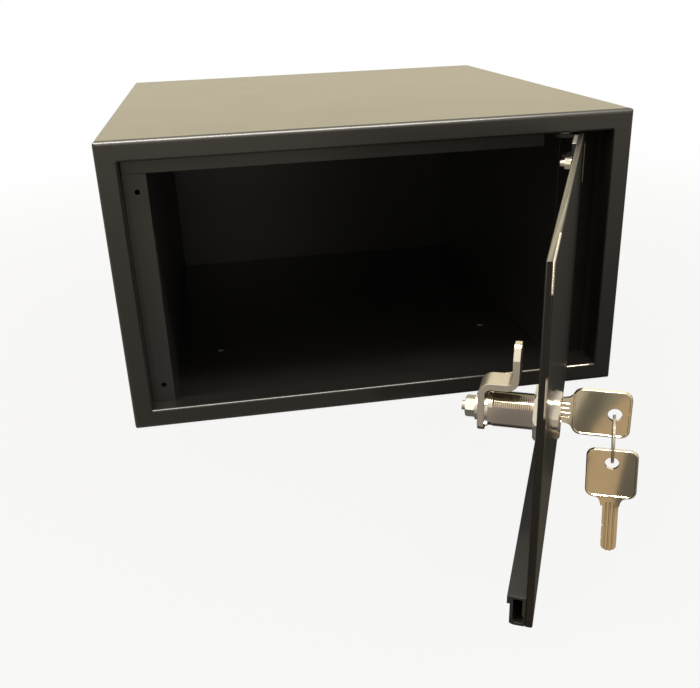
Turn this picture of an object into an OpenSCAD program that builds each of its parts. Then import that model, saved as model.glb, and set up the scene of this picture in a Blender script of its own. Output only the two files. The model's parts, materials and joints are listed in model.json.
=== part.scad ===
// Small hotel safe with an inset plate door, a cam lock and two keys. Millimetres, +Z up.
// The origin is the middle of the underside. The door faces -Y and stands open, as at rest.
// Door parts are drawn closed and then turned about the pivot axis by door_open.

/* [Body] */
// Outer width of the body
body_w = 406; // [380:1:440]
// Outer depth of the body
body_d = 432; // [400:1:470]
// Outer height of the body
body_h = 229; // [215:1:250]
// Thickness of the body sheet
sheet_t = 2; // [1.5:0.1:2.5]
// Radius of the folded outer edges
edge_r = 3.5; // [3:0.1:5]
// Width of the front frame round the opening
lip_w = 15.5; // [13:0.5:18]
// Depth of the returns behind the front frame
return_d = 20; // [19:0.5:24]
// Radius of the fold at the opening's edge
fold_r = 1.8; // [1:0.1:2.5]

/* [Floor anchors] */
// Diameter of the anchor holes in the floor
anchor_d = 8; // [6:0.5:10]
// Spacing of the anchor holes across the floor
anchor_gap = 262; // [220:1:290]
// Distance of the anchor holes behind the front face
anchor_y = 144; // [120:1:200]

/* [Liners and stops] */
// Thickness of the liner sheet
liner_t = 1.2; // [1:0.1:1.5]
// Width of the left stop strip, the liner's front flange
strip_w = 14.5; // [13:0.5:16]
// Gap between the left stop strip and the frame's return
strip_gap = 3.5; // [3:0.5:5]
// Diameter of the two small holes in the left stop strip
strip_hole_d = 4; // [3:0.5:5]
// Distance of the strip holes from the top and bottom of the opening
strip_hole_in = 25; // [18:1:35]
// Depth of the top stop strip
top_strip_h = 11.5; // [9:0.5:14]
// Distance of the hinge-side liner's flange behind the front face
liner_setback = 57; // [55:0.5:65]
// Width of the hinge-side liner's flange
liner_flange_w = 33; // [28:0.5:38]

/* [Door] */
// Thickness of the door plate
door_t = 4; // [3:0.5:5]
// Radius of the door's edges
door_edge_r = 0.7; // [0.4:0.1:1]
// Distance of the door's face behind the front face
door_inset = 1; // [0.5:0.1:2]
// Gap at the door's free edge
free_gap = 1.5; // [1.3:0.1:2.5]
// Gap under the door
bottom_gap = 1.5; // [1:0.1:2.5]
// Gap over the door
top_gap = 1; // [0.8:0.1:2]
// Distance of the pivot axis from the door's hinge edge
pivot_in = 29; // [27:0.5:32]
// Distance of the pivot axis behind the front face
pivot_back = 16; // [15.5:0.1:17]
// Angle at which the door stands open
door_open = 64; // [20:1:110]
// Height of the bottom channel on the door's inner side
channel_h = 18; // [14:0.5:24]
// Depth of the bottom channel
channel_d = 9.5; // [7:0.5:11]
// Thickness of the channel's sheet
channel_t = 1.6; // [1.2:0.1:2]
// Gap between the closed channel and the left stop strip
stop_gap = 0.3; // [0.2:0.1:1]

/* [Hinge] */
// Diameter of the pivot pins
pin_d = 6; // [5:0.5:7]
// Length of each hinge bracket along the door
bracket_l = 62; // [58:0.5:70]
// Height of each hinge bracket
bracket_h = 32; // [28:0.5:40]
// Thickness of the hinge brackets
bracket_t = 3; // [2.5:0.1:4]
// Width of the bracket's pivot ear
ear_w = 18; // [14:0.5:20]
// Thickness of the thrust washers
washer_t = 1.9; // [1.5:0.1:2.5]
// Diameter of the hinge studs
stud_d = 5; // [4:0.5:6]
// Width across the flats of the hinge nuts
hinge_nut_af = 8; // [7:0.5:10]

/* [Lock] */
// Diameter of the lock barrel
barrel_d = 19; // [18:0.1:20]
// Length of the barrel behind the door's inner face
barrel_l = 26.8; // [25:0.1:30]
// Distance across the two barrel flats
flats_w = 16; // [15.5:0.1:17]
// Pitch of the barrel thread
thread_pitch = 1; // [0.9:0.1:1.5]
// Diameter of the lock head
head_d = 25.4; // [24:0.1:28]
// Thickness of the lock head
head_t = 5.6; // [4.5:0.1:7]
// Width across the flats of the lock nut
lock_nut_af = 25.4; // [24:0.1:27]
// Thickness of the lock nut
lock_nut_t = 3.7; // [3.2:0.1:5]
// Distance of the lock axis from the door's free edge
lock_in = 43.5; // [43:0.1:46]
// Height of the lock axis above the underside
lock_z = 118.3; // [105:0.1:130]
// Diameter of the turning plug
plug_d = 13; // [12.6:0.1:13.2]
// Number of pin stacks
pin_count = 5; // [3:1:6]
// Distance between the pin stacks
pin_pitch = 4; // [3.8:0.1:4.2]

/* [Cam] */
// Thickness of the cam
cam_t = 3.6; // [3:0.1:4.2]
// Width of the cam
cam_w = 15; // [13:0.5:16]
// Reach of the cam's tip from the lock axis
cam_reach = 37.6; // [36:0.1:39]
// Height of the cam's offset leg above the lock axis
cam_leg = 15.2; // [14:0.1:17]
// Gap between the locked cam and the back of the stop strip
cam_gap = 0.4; // [0.3:0.1:1]

/* [Keys and ring] */
// Length of the key bow
bow_l = 28.3; // [27:0.1:30]
// Width of the key bow
bow_w = 25.5; // [24:0.5:27]
// Thickness of the key
key_t = 2.4; // [2.2:0.1:2.6]
// Length of the shoulder between the bow and the blade
shoulder_l = 5.2; // [4.5:0.1:7]
// Length of the key blade
blade_l = 27.8; // [26:0.2:28.2]
// Width of the key blade
blade_w = 8; // [7.6:0.1:8.2]
// Diameter of the hole in the bow
bow_hole_d = 7; // [6.6:0.1:7.6]
// Mean diameter of the key ring
ring_d = 23.4; // [22:0.1:25]
// Thickness of the ring's wire
ring_t = 1.5; // [1.3:0.1:1.6]

/* [Hidden] */
$fn = 48;
eps = 0.01;
weld_gap = 0.05; // clearance between pieces that are welded or pressed together
run_gap = 0.05; // radial clearance of every turning fit

// The opening and the closed door
front_y = -body_d / 2;
open_x = body_w / 2 - lip_w;
open_z0 = lip_w;
open_z1 = body_h - lip_w;
door_x0 = -open_x + free_gap;
door_z0 = open_z0 + bottom_gap;
door_z1 = open_z1 - top_gap;
outer_y = front_y + door_inset;
inner_y = outer_y + door_t;
swing_gap = 0.85; // clearance of the door's hinge edge as it swings inside the return
corner_dy = pivot_back - door_inset;
hinge_gap = sqrt(pivot_in * pivot_in + corner_dy * corner_dy) - pivot_in + swing_gap;
door_x1 = open_x - hinge_gap;
pivot_x = door_x1 - pivot_in;
pivot_y = front_y + pivot_back;

// The stops behind the closed door
strip_y = inner_y + channel_d + stop_gap;
strip_x0 = -open_x + strip_gap;
strip_x1 = strip_x0 + strip_w;
edge_x0 = -open_x + 0.3; // the strips' recessed left edge, just clear of the return
edge_back = 0.6; // how far that edge lies behind the strip's face
edge_lap = 1.5; // overlap of edge and strip
top_strip_x1 = pivot_x - ear_w / 2 - 8;
top_strip_l = 14;
liner_back = body_d / 2 - sheet_t - weld_gap;

// The hinge brackets: upper ear top and lower ear underside
ear_top = open_z1 - washer_t - 2 * weld_gap;
ear_bottom = open_z0 + washer_t + 2 * weld_gap;
bracket_x0 = pivot_x + ear_w / 2 + 4 - bracket_l;
stud_drop = 19.5; // studs below the upper bracket's top, and above the lower one's underside
stud_back = 24; // studs before and past the pivot axis, along the door
stud_past = 5;
stud_x = [pivot_x - stud_back, pivot_x + stud_past];
stud_z = [ear_top - stud_drop, ear_bottom + stud_drop];
stud_l = 12;
stud_washer_t = 1;
hinge_nut_t = 4.5;
pin_head_d = pin_d + 3;
pin_head_t = 1.5;
washer_d = 13;

// The lock, along its own axis: 0 at the door's outer face, + outwards
lock_x = door_x0 + lock_in;
barrel_end = -door_t - barrel_l;
head_neck_t = 1.8; // the head's narrower part next to the door
head_neck_d = head_d - 1.6;
plug_r = plug_d / 2;
plug_flange_d = plug_d + 2.4;
plug_flange_t = 1.6;
plug_face = head_t - 0.3;
pin_d_small = 2.4;
first_pin = -2.4;
blade_off = 0.7; // from the bow's middle line to the blade's, towards its cuts
blade_y = -blade_off - blade_w / 2; // edge of the blade with the cuts
key_rise = plug_r - blade_w - blade_y - 0.2; // the blade lies over the pins, in the plug's upper part
keyway_gap = 0.1;
pin_tip = -key_rise - blade_y + keyway_gap + 0.1; // below the lock axis
cover_t = 0.7;
cover_w = 4;
chamber_top = barrel_d / 2 - 0.5 - cover_t;
driver_l = 0.9;
stop_washer_t = 1.6;
stop_washer_d = 16;
tail_af = 8; // square tail that turns the cam
tail_stud_d = 5;
cam_back = barrel_end - stop_washer_t - 2 * weld_gap;
cam_end = cam_back - cam_t;
cam_tip_front = -(strip_y + liner_t + cam_gap - outer_y);
cam_base_drop = 10.8;
cam_bend_r = 3;
cam_washer_t = 1.5;
cam_washer_d = 13.8;
cam_nut_af = 10;
cam_nut_t = 5.2;
cam_nut_turn = -5; // how far the nut's flat is off the upright when tightened
nut_tail = 1.9;

// The keys: along the key 0 at the end of the shoulder, + towards the bow
blade_t = key_t - 0.4;
shoulder_w = 14.5;
shoulder_r = 3; // of the fillets between the shoulder and the bow
bow_r = 4.5;
rim_w = 1.4;
rim_h = 0.3;
hole_in = 7.8; // from the bow's far edge to the middle of its hole
bow_x0 = shoulder_l;
hole_u = bow_x0 + bow_l - hole_in;
key_seat = head_t; // the shoulder stops against the head
hang_gap = 0.6; // clearance between a hanging piece and what it hangs on
hang_lean = 2; // degrees that the ring leans outwards
ring_top_drop = bow_hole_d / 2 - hang_gap - ring_t / 2;
ring_bottom_drop = ring_top_drop + ring_d;
spare_hole_drop = ring_bottom_drop + ring_top_drop;

// Colours of the finishes
paint_black = [0.05, 0.05, 0.055];
zinc = [0.75, 0.76, 0.72];
nickel = [0.72, 0.7, 0.66];
key_gold = [0.74, 0.64, 0.44];

// Rounded rectangle in the plane, centred, from squares and circles
module round_rect(w, h, r) {
    square([w - 2 * r, h], center = true);
    square([w, h - 2 * r], center = true);
    for (sx = [-1, 1], sy = [-1, 1])
        translate([sx * (w / 2 - r), sy * (h / 2 - r)]) circle(r = r);
}

// Box from two corners
module span(a, b) {
    translate(a) cube([b[0] - a[0], b[1] - a[1], b[2] - a[2]]);
}

// Hexagonal prism along Z with a flat facing +Y
module hex_prism(af, h) {
    cylinder(d = af / cos(30), h = h, $fn = 6);
}

// Turns door parts from the closed place to the open one
module at_door() {
    translate([pivot_x, pivot_y, 0]) rotate([0, 0, door_open])
        translate([-pivot_x, -pivot_y, 0]) children();
}

// Puts parts on the lock axis: local +Z outwards, +Y up, -X to the free edge
module at_lock() {
    at_door() translate([lock_x, outer_y, lock_z]) rotate([90, 0, 0]) children();
}

// The body's outline, rounded along all its edges
module body_solid() {
    intersection() {
        translate([0, body_d / 2, body_h / 2]) rotate([90, 0, 0])
            linear_extrude(body_d) round_rect(body_w, body_h, edge_r);
        translate([0, edge_r / 2, -eps]) linear_extrude(body_h + 2 * eps)
            round_rect(body_w, body_d + edge_r, edge_r);
        translate([-body_w / 2 - eps, edge_r / 2, body_h / 2]) rotate([90, 0, 90])
            linear_extrude(body_w + 2 * eps) round_rect(body_d + edge_r, body_h, edge_r);
    }
}

// Cuts the round fold along one straight edge of the opening
module fold_cut(length) {
    difference() {
        translate([-length / 2, -fold_r, -fold_r]) cube([length, 2 * fold_r, 2 * fold_r]);
        translate([-length / 2 - 1, fold_r, -fold_r]) rotate([0, 90, 0])
            cylinder(r = fold_r, h = length + 2);
        translate([-length / 2 - 1, fold_r, -2 * fold_r])
            cube([length + 2, 2 * fold_r, 4 * fold_r]);
        translate([-length / 2 - 1, -2 * fold_r, -3 * fold_r])
            cube([length + 2, 4 * fold_r, 2 * fold_r]);
    }
}

module outer_shell() {
    open_h = open_z1 - open_z0;
    open_mid = (open_z0 + open_z1) / 2;
    color(paint_black) difference() {
        body_solid();
        difference() {
            translate([0, body_d / 2 + eps, body_h / 2]) rotate([90, 0, 0])
                linear_extrude(body_d - sheet_t + eps)
                round_rect(body_w - 2 * sheet_t, body_h - 2 * sheet_t, edge_r - sheet_t);
            span([-open_x - sheet_t, front_y, open_z0 - sheet_t],
                [open_x + sheet_t, front_y + return_d, open_z1 + sheet_t]);
        }
        span([-open_x, front_y - 1, open_z0], [open_x, front_y + return_d + 1, open_z1]);
        translate([0, front_y, open_z0]) fold_cut(2 * open_x);
        translate([0, front_y, open_z1]) mirror([0, 0, 1]) fold_cut(2 * open_x);
        translate([-open_x, front_y, open_mid]) rotate([0, 90, 0]) fold_cut(open_h);
        translate([open_x, front_y, open_mid]) rotate([0, -90, 0]) fold_cut(open_h);
        for (s = [-1, 1]) translate([s * anchor_gap / 2, front_y + anchor_y, -1])
            cylinder(d = anchor_d, h = sheet_t + 2);
        for (z = [open_z0 - sheet_t - 1, open_z1 - 1]) translate([pivot_x, pivot_y, z])
            cylinder(d = pin_d + 2 * weld_gap, h = sheet_t + 2);
    }
}

// Block that just clears the inside of the wrap, from y0 to y1
module inside_outline(y0, y1) {
    less = 2 * sheet_t + 2 * weld_gap;
    translate([0, y1, body_h / 2]) rotate([90, 0, 0]) linear_extrude(y1 - y0)
        round_rect(body_w - less, body_h - less, edge_r - sheet_t);
}

module back_panel() {
    color(paint_black) inside_outline(body_d / 2 - sheet_t, body_d / 2);
}

// Upright sheet of a side lining, notched at the front to pass between the returns
module lining(x, y0) {
    gap = weld_gap;
    difference() {
        span([x, y0, sheet_t + gap], [x + liner_t, liner_back, body_h - sheet_t - gap]);
        for (z = [sheet_t, open_z1 - gap])
            span([x - 1, y0 - 1, z - gap],
                [x + liner_t + 1, front_y + return_d + 2 * gap, z + lip_w - sheet_t + 2 * gap]);
    }
}

module left_liner() {
    x = strip_x1 - liner_t;
    top = open_z1 - top_strip_h - weld_gap;
    slot_y = strip_y + liner_t;
    color(paint_black) difference() {
        union() {
            lining(x, strip_y);
            span([strip_x0, strip_y, open_z0 + weld_gap], [strip_x1, strip_y + liner_t, top]);
            // Recessed edge that closes the gap to the frame's return
            span([edge_x0, strip_y + edge_back, open_z0 + weld_gap],
                [strip_x0 + edge_lap, strip_y + edge_back + liner_t, top]);
        }
        // Room for the top stop strip's upright leg
        span([x - 1, strip_y - 1, top], [strip_x1 + 1, strip_y + top_strip_l + 1, open_z1 + 1]);
        // Window through which the cam's tip turns behind the strip
        span([x - 1, slot_y, lock_z - cam_w / 2 - 3],
            [strip_x1 + 1, slot_y + cam_t + 6, lock_z + cam_reach]);
        for (z = [open_z0 + strip_hole_in * 0.6, open_z1 - strip_hole_in])
            translate([(strip_x0 + x) / 2, strip_y - 1, z]) rotate([-90, 0, 0])
                cylinder(d = strip_hole_d, h = liner_t + 2);
    }
}

module right_liner() {
    x = body_w / 2 - sheet_t - weld_gap - liner_flange_w;
    y = front_y + liner_setback;
    color(paint_black) intersection() {
        inside_outline(y - 1, liner_back);
        union() {
            span([x, y, 0], [x + liner_t, liner_back, body_h]);
            span([x, y, 0], [x + liner_flange_w, y + liner_t, body_h]);
        }
    }
}

module top_stop_strip() {
    z1 = open_z1 - weld_gap;
    color(paint_black) {
        span([edge_x0, strip_y, open_z1 - top_strip_h], [top_strip_x1, strip_y + liner_t, z1]);
        span([edge_x0, strip_y, z1 - liner_t], [top_strip_x1, strip_y + top_strip_l, z1]);
    }
}

// Pin with a head on the hidden side of the return, pointing down from z
module pivot_pin(z, ear_end) {
    translate([pivot_x, pivot_y, z + sheet_t + weld_gap]) cylinder(d = pin_head_d, h = pin_head_t);
    translate([pivot_x, pivot_y, ear_end - 1])
        cylinder(d = pin_d, h = z + sheet_t + pin_head_t - ear_end + 1);
}

module top_pivot_pin() {
    color(zinc) pivot_pin(open_z1, ear_top - bracket_t);
}

module bottom_pivot_pin() {
    color(zinc) mirror([0, 0, 1]) pivot_pin(-open_z0, -ear_bottom - bracket_t);
}

module pivot_washers() {
    color(zinc) for (z = [open_z0 + weld_gap, open_z1 - weld_gap - washer_t])
        translate([pivot_x, pivot_y, z]) difference() {
            cylinder(d = washer_d, h = washer_t);
            translate([0, 0, -1]) cylinder(d = pin_d + 2 * run_gap, h = washer_t + 2);
        }
}

module door_plate() {
    w = door_x1 - door_x0;
    h = door_z1 - door_z0;
    mid_x = (door_x0 + door_x1) / 2;
    mid_y = outer_y + door_t / 2;
    color(paint_black) at_door() difference() {
        intersection() {
            translate([mid_x, mid_y, door_z0]) linear_extrude(h) round_rect(w, door_t, door_edge_r);
            translate([door_x0, mid_y, door_z0 + h / 2]) rotate([90, 0, 90])
                linear_extrude(w) round_rect(door_t, h, door_edge_r);
        }
        // Lock hole with two flats
        translate([lock_x, inner_y + 1, lock_z]) rotate([90, 0, 0]) intersection() {
            cylinder(d = barrel_d + 4 * weld_gap, h = door_t + 2);
            translate([-flats_w / 2 - 2 * weld_gap, -barrel_d, 0])
                cube([flats_w + 4 * weld_gap, 2 * barrel_d, door_t + 2]);
        }
    }
}

module door_bottom_channel() {
    x1 = bracket_x0 - 3;
    y0 = inner_y;
    y1 = inner_y + channel_d;
    lap = 1.5; // the top leg laps over the web towards the door
    r = 4.5;
    color(paint_black) at_door() difference() {
        translate([door_x0, 0, 0]) rotate([90, 0, 90]) linear_extrude(x1 - door_x0) difference() {
            union() {
                translate([y0, door_z0]) square([channel_d - r, channel_h]);
                translate([y0, door_z0 + r]) square([channel_d, channel_h - r]);
                translate([y1 - r, door_z0 + r]) circle(r = r);
            }
            translate([y0 + channel_t, door_z0 + channel_t])
                square([channel_d - channel_t - r, channel_h - 2 * channel_t]);
            translate([y0 + channel_t, door_z0 + r])
                square([channel_d - 2 * channel_t - lap, channel_h - r - channel_t]);
            translate([y1 - r - lap, door_z0 + r]) circle(r = r - channel_t);
            // Step of the web under the top leg's lap
            translate([y1 - lap, door_z0 - 1]) square([lap + 1, channel_h - 3 * channel_t + 1]);
        }
    }
}

// Upper hinge bracket in the closed place: a leg on the door and an ear round the pin
module bracket_solid() {
    span([bracket_x0, inner_y, ear_top - bracket_h],
        [bracket_x0 + bracket_l, inner_y + bracket_t, ear_top]);
    span([pivot_x - ear_w / 2, inner_y, ear_top - bracket_t],
        [pivot_x + ear_w / 2, pivot_y, ear_top]);
    translate([pivot_x, pivot_y, ear_top - bracket_t]) cylinder(d = ear_w, h = bracket_t);
}

module bracket_holes() {
    translate([pivot_x, pivot_y, ear_top - bracket_t - 1])
        cylinder(d = pin_d + 2 * run_gap, h = bracket_t + 2);
    for (x = stud_x) translate([x, inner_y - 1, stud_z[0]]) rotate([-90, 0, 0])
        cylinder(d = stud_d + 2 * weld_gap, h = bracket_t + 2);
}

module top_hinge_bracket() {
    color(zinc) at_door() difference() {
        bracket_solid();
        bracket_holes();
    }
}

module bottom_hinge_bracket() {
    color(zinc) at_door() translate([0, 0, ear_top + ear_bottom]) mirror([0, 0, 1]) difference() {
        bracket_solid();
        bracket_holes();
    }
}

module hinge_studs() {
    color(zinc) at_door() for (x = stud_x, z = stud_z)
        translate([x, inner_y, z]) rotate([-90, 0, 0]) {
            cylinder(d = stud_d, h = stud_l - 0.6);
            cylinder(d = stud_d - 1, h = stud_l);
        }
}

module hinge_nuts() {
    color(zinc) at_door() for (x = stud_x, z = stud_z)
        translate([x, inner_y + bracket_t, z]) rotate([-90, 0, 0]) difference() {
            union() {
                cylinder(d = hinge_nut_af + 3, h = stud_washer_t);
                translate([0, 0, stud_washer_t]) hex_prism(hinge_nut_af, hinge_nut_t);
            }
            translate([0, 0, -1])
                cylinder(d = stud_d + 2 * weld_gap, h = hinge_nut_t + stud_washer_t + 2);
        }
}

// Places one copy at each pin stack, pointing down from the lock axis
module at_pins() {
    for (i = [0:pin_count - 1]) translate([0, 0, first_pin - i * pin_pitch])
        rotate([90, 0, 0]) children();
}

module lock_housing() {
    depth = 0.45; // of the thread
    turns = floor((barrel_l - 1) / thread_pitch);
    bevel = 0.9;
    color(nickel) at_lock() difference() {
        union() {
            cylinder(d = head_neck_d, h = head_t - bevel);
            translate([0, 0, head_neck_t]) cylinder(d = head_d, h = head_t - bevel - head_neck_t);
            translate([0, 0, head_t - bevel])
                cylinder(d1 = head_d, d2 = head_d - 2 * bevel, h = bevel);
            intersection() {
                rotate_extrude() polygon(concat(
                    [[0, 0], [barrel_d / 2, 0], [barrel_d / 2, -door_t]],
                    [for (i = [0:turns - 1], k = [0:1])
                        [barrel_d / 2 - k * depth, -door_t - (i + 0.5 * k) * thread_pitch]],
                    [[barrel_d / 2 - depth, barrel_end], [0, barrel_end]]));
                translate([-flats_w / 2, -barrel_d, barrel_end - 1])
                    cube([flats_w, 2 * barrel_d, barrel_l + door_t + 2]);
            }
        }
        translate([0, 0, barrel_end - 1]) cylinder(d = plug_d + 2 * run_gap, h = head_t - barrel_end + 2);
        translate([0, 0, plug_face - plug_flange_t - run_gap])
            cylinder(d = plug_flange_d + 2 * run_gap, h = head_t);
        at_pins() cylinder(d = pin_d_small + 2 * run_gap, h = chamber_top + eps);
        // Seat of the cover strip over the pin chambers
        mirror([0, 1, 0])
            translate([-cover_w / 2 - weld_gap, chamber_top, first_pin - pin_count * pin_pitch])
                cube([cover_w + 2 * weld_gap, barrel_d, pin_count * pin_pitch + 1]);
    }
}

module pin_cover_strip() {
    color(nickel) at_lock() mirror([0, 1, 0]) translate([-cover_w / 2, chamber_top + weld_gap,
        first_pin - pin_count * pin_pitch + weld_gap])
        cube([cover_w, cover_t - 4 * weld_gap, pin_count * pin_pitch + 1 - 2 * weld_gap]);
}

module driver_pins() {
    color(nickel) at_lock() at_pins() translate([0, 0, plug_r + 2 * run_gap])
        cylinder(d = pin_d_small, h = driver_l);
}

module pin_springs() {
    z0 = plug_r + 2 * run_gap + driver_l + weld_gap;
    color(zinc) at_lock() at_pins() translate([0, 0, z0]) difference() {
        cylinder(d = pin_d_small - 0.2, h = chamber_top - z0 - weld_gap);
        translate([0, 0, -1]) cylinder(d = pin_d_small - 1.2, h = 4);
    }
}

module lock_nut() {
    z = -door_t - lock_nut_t - weld_gap;
    color(zinc) at_lock() translate([0, 0, z]) difference() {
        hex_prism(lock_nut_af, lock_nut_t);
        translate([0, 0, -1]) cylinder(d = barrel_d + 2 * weld_gap, h = lock_nut_t + 2);
    }
}

module lock_plug() {
    tail_end = cam_end - cam_washer_t - cam_nut_t - nut_tail - 4 * weld_gap;
    slot_t = blade_t + 2 * keyway_gap;
    color(nickel) at_lock() difference() {
        union() {
            translate([0, 0, barrel_end]) cylinder(d = plug_d, h = plug_face - barrel_end);
            translate([0, 0, plug_face - plug_flange_t])
                cylinder(d = plug_flange_d, h = plug_flange_t);
            translate([-tail_af / 2, -tail_af / 2, cam_end])
                cube([tail_af, tail_af, barrel_end - cam_end + 1]);
            translate([0, 0, tail_end]) cylinder(d = tail_stud_d, h = cam_end - tail_end + 1);
        }
        // Keyway, open at the plug's upper side
        translate([-slot_t / 2, key_rise + blade_y - keyway_gap, key_seat - blade_l - 1])
            cube([slot_t, plug_flange_d, blade_l + 2]);
        at_pins() translate([0, 0, pin_tip - 0.2])
            cylinder(d = pin_d_small + 2 * run_gap, h = plug_r);
    }
}

module plug_pins() {
    color(key_gold) at_lock() at_pins() translate([0, 0, pin_tip])
        cylinder(d = pin_d_small, h = plug_r - run_gap - pin_tip);
}

// Square hole through the pieces on the plug's tail
module tail_hole(h) {
    side = tail_af + 2 * weld_gap;
    translate([-side / 2, -side / 2, -1]) cube([side, side, h + 2]);
}

module stop_washer() {
    tooth = 1.6;
    color(zinc) at_lock() translate([0, 0, barrel_end - weld_gap - stop_washer_t]) difference() {
        union() {
            cylinder(d = stop_washer_d, h = stop_washer_t);
            for (a = [45:90:315]) rotate([0, 0, a]) translate([stop_washer_d / 2 - 1, -tooth, 0])
                cube([1 + tooth, 2 * tooth, stop_washer_t]);
        }
        tail_hole(stop_washer_t);
    }
}

// The cam's side view: x along the lock axis, y up from it
module cam_profile() {
    leg0 = cam_leg - cam_t / 2;
    leg1 = cam_leg + cam_t / 2;
    out_r = cam_bend_r + cam_t;
    tip0 = cam_tip_front - cam_t;
    translate([cam_end, -cam_base_drop]) square([cam_t, leg1 - out_r + cam_base_drop]);
    difference() {
        translate([cam_end + out_r, leg1 - out_r]) circle(r = out_r);
        translate([cam_end + out_r, leg1 - out_r]) circle(r = cam_bend_r);
        translate([cam_end, leg1 - 3 * out_r]) square([2 * out_r, 2 * out_r]);
        translate([cam_end + out_r, leg1 - out_r]) square(out_r);
    }
    translate([cam_end + out_r, leg0]) square([cam_tip_front - cam_end - 2 * out_r, cam_t]);
    difference() {
        translate([cam_tip_front - out_r, leg0 + out_r]) circle(r = out_r);
        translate([cam_tip_front - out_r, leg0 + out_r]) circle(r = cam_bend_r);
        translate([cam_tip_front - 2 * out_r, leg0 + out_r]) square([2 * out_r, out_r]);
        translate([cam_tip_front - 2 * out_r, leg0]) square([out_r, out_r]);
    }
    translate([tip0, leg0 + out_r]) square([cam_t, cam_reach - leg0 - out_r]);
}

// The cam's front view: its tip tapers in two steps and its foot's corners are cut
module cam_outline() {
    foot_cut = 3;
    taper_l = 7;
    taper_w = 5;
    crown_l = 1.5;
    crown_w = 2;
    half = [[cam_w / 2 - foot_cut, -cam_base_drop], [cam_w / 2, foot_cut - cam_base_drop],
        [cam_w / 2, cam_reach - taper_l], [cam_w / 2 + crown_w - taper_w, cam_reach - crown_l],
        [cam_w / 2 - taper_w, cam_reach]];
    polygon(concat(half, [for (i = [len(half) - 1:-1:0]) [-half[i][0], half[i][1]]]));
}

module cam() {
    color(zinc) at_lock() difference() {
        intersection() {
            rotate([0, -90, 0]) translate([0, 0, -cam_w / 2]) linear_extrude(cam_w) cam_profile();
            translate([0, 0, cam_end - 1]) linear_extrude(cam_tip_front - cam_end + 2)
                cam_outline();
        }
        translate([0, 0, cam_end]) tail_hole(cam_t);
    }
}

module cam_washer() {
    color(zinc) at_lock() translate([0, 0, cam_end - weld_gap - cam_washer_t]) difference() {
        cylinder(d = cam_washer_d, h = cam_washer_t);
        translate([0, 0, -1]) cylinder(d = tail_stud_d + 2 * weld_gap, h = cam_washer_t + 2);
    }
}

module cam_nut() {
    z = cam_end - cam_washer_t - 2 * weld_gap - cam_nut_t;
    color(zinc) at_lock() translate([0, 0, z]) difference() {
        rotate([0, 0, cam_nut_turn]) hex_prism(cam_nut_af, cam_nut_t);
        translate([0, 0, -1]) cylinder(d = tail_stud_d + 2 * weld_gap, h = cam_nut_t + 2);
    }
}

// The shoulder, with a fillet on each side where it meets the bow
module shoulder_outline() {
    translate([0, -shoulder_w / 2]) square([shoulder_l + 1, shoulder_w]);
    for (s = [0, 1]) mirror([0, s]) difference() {
        translate([shoulder_l - shoulder_r, shoulder_w / 2 - eps])
            square([shoulder_r + 1, shoulder_r + eps]);
        translate([shoulder_l - shoulder_r, shoulder_w / 2 + shoulder_r]) circle(r = shoulder_r);
    }
}

// Key in its own plane: x along the key with the bow at +x, y across, z through it
module key_solid() {
    cuts = [0.8, 1.3, 0.6, 1.1, 0.7];
    mid = bow_x0 + bow_l / 2;
    difference() {
        union() {
            translate([mid, 0, -key_t / 2]) linear_extrude(key_t) round_rect(bow_l, bow_w, bow_r);
            translate([0, 0, -blade_t / 2]) linear_extrude(blade_t) {
                shoulder_outline();
                translate([blade_w / 2 - blade_l, blade_y])
                    square([blade_l - blade_w / 2 + eps, blade_w]);
                translate([blade_w / 2 - blade_l, -blade_off]) circle(d = blade_w);
            }
        }
        // Sunk field inside the rim, on both faces
        for (s = [-1, 1]) translate([mid, 0, s * key_t / 2 - rim_h]) linear_extrude(2 * rim_h)
            round_rect(bow_l - 2 * rim_w, bow_w - 2 * rim_w, bow_r - rim_w);
        translate([hole_u, 0, -key_t]) cylinder(d = bow_hole_d, h = 2 * key_t);
        // Lengthwise grooves of the blade, one face each
        for (s = [-1, 1]) translate([-blade_l - 1, s * 1.6 - 0.6 - blade_off,
            s * blade_t / 2 - 0.45]) cube([blade_l + 1 + shoulder_l, 1.2, 0.9]);
        // Cuts in the blade's edge
        for (i = [0:pin_count - 1]) {
            u = first_pin - i * pin_pitch - key_seat;
            translate([u, blade_y, 0]) rotate([0, 0, 45])
                cube([1.41 * cuts[i], 1.41 * cuts[i], 2 * key_t], center = true);
        }
    }
}

// The key's place in the lock: its plane upright, its bow outwards
module in_lock() {
    at_lock() translate([0, key_rise, key_seat + 2 * weld_gap]) rotate([0, -90, 0]) children();
}

// Friction holds the ring and what hangs from it a little off the plumb line
module leaning() {
    in_lock() translate([hole_u, -ring_top_drop, 0]) rotate([0, 0, hang_lean])
        translate([-hole_u, ring_top_drop, 0]) children();
}

module inserted_key() {
    color(key_gold) in_lock() key_solid();
}

// Split ring of two turns side by side, in the plane across the inserted key
module key_ring() {
    wire = ring_t * 0.62;
    color(nickel) leaning() translate([hole_u, -ring_top_drop - ring_d / 2, 0])
        rotate([0, 90, 0]) for (s = [-1, 1]) translate([0, 0, s * (ring_t - wire) / 2])
            rotate_extrude() translate([ring_d / 2, 0])
                scale([ring_t / wire, 1]) circle(d = wire);
}

module spare_key() {
    color(key_gold) leaning() translate([hole_u, -spare_hole_drop, 0]) rotate([0, 0, 90])
        translate([-hole_u, 0, 0]) rotate([180, 0, 0]) key_solid();
}

outer_shell();
back_panel();
left_liner();
right_liner();
top_stop_strip();
top_pivot_pin();
bottom_pivot_pin();
pivot_washers();
door_plate();
door_bottom_channel();
top_hinge_bracket();
bottom_hinge_bracket();
hinge_studs();
hinge_nuts();
lock_housing();
lock_nut();
driver_pins();
pin_springs();
pin_cover_strip();
lock_plug();
plug_pins();
stop_washer();
cam();
cam_washer();
cam_nut();
inserted_key();
key_ring();
spare_key();
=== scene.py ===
import json
import math
from contextlib import contextmanager

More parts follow.
